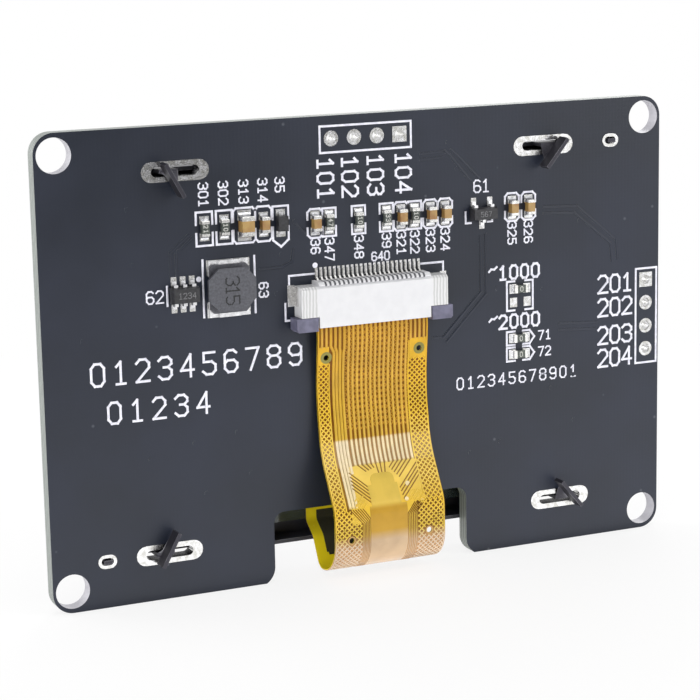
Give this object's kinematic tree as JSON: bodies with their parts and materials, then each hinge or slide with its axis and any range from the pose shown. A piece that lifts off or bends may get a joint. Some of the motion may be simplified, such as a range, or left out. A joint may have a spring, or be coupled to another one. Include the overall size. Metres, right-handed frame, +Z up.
{
  "type": "oled display module",
  "caption": "Small OLED module: display glass under a folded steel bezel on a dark board, with a looped flex cable, its connector and pin holes.",
  "frame": {"origin": "middle of the four mounting holes on the board's front face", "axes": "+X to the right as the display is read, +Z up the display, -Y out of the screen, +Y back through the board to the side with the components"},
  "size_m": [0.0694, 0.0091, 0.0476],
  "materials": {
    "board": "satin dark solder mask over glass-fibre laminate",
    "plated_pads": "bright tinned copper",
    "solder": "bright solder",
    "bezel": "matt dark paint on folded steel",
    "polarizer": "smooth dark film",
    "display_glass": "clear polished glass",
    "seal": "cured resin",
    "display_layer": "thin dark layer",
    "cover_glass": "clear glass",
    "foam": "closed-cell foam",
    "flex_film": "amber film over copper tracks",
    "stiffener": "stiff white film",
    "silicon": "polished dark chip",
    "connector_white": "moulded",
    "connector_dark": "moulded",
    "contact_metal": "tinned bronze",
    "mould_black": "moulded epoxy",
    "tinned_leads": "tinned",
    "ferrite": "fine grey ceramic",
    "copper_wire": "enamelled wire",
    "chip_ends": "tinned",
    "chip_resistor": "glazed dark",
    "chip_capacitor": "fine tan ceramic"
  },
  "bodies": {
    "root": {"bezel": "bezel", "capacitor_01": "chip_capacitor", "capacitor_02": "chip_capacitor", "capacitor_03": "chip_capacitor", "capacitor_04": "chip_capacitor", "capacitor_05": "chip_capacitor", "capacitor_06": "chip_capacitor", "capacitor_07": "chip_capacitor", "capacitor_08": "chip_capacitor", "capacitor_terminals": "chip_ends", "circuit_board": "board", "connector_contacts": "contact_metal", "connector_hold_downs": "contact_metal", "connector_housing": "connector_white", "connector_slider": "connector_dark", "converter_chip": "mould_black", "converter_leads": "tinned_leads", "diode": "mould_black", "diode_leads": "tinned_leads", "driver_chip": "silicon", "edge_seal": "seal", "flex_cable": "flex_film", "flex_stiffener": "stiffener", "foam_tape": "foam", "front_glass": "display_glass", "inductor_core": "ferrite", "inductor_terminals": "tinned_leads", "inductor_winding": "copper_wire", "locating_hole_plating": "plated_pads", "organic_layer": "display_layer", "polarizer": "polarizer", "rear_cover_glass": "cover_glass", "regulator_chip": "mould_black", "regulator_leads": "tinned_leads", "resistor_01": "chip_resistor", "resistor_02": "chip_resistor", "resistor_03": "chip_resistor", "resistor_04": "chip_resistor", "resistor_05": "chip_resistor", "resistor_06": "chip_resistor", "resistor_07": "chip_resistor", "resistor_08": "chip_resistor", "resistor_09": "chip_resistor", "resistor_terminals": "chip_ends", "side_pin_holes": "plated_pads", "slot_plating": "plated_pads", "solder_joints": "solder", "solder_pads": "plated_pads", "top_pin_holes": "plated_pads"}
  },
  "joints": []
}
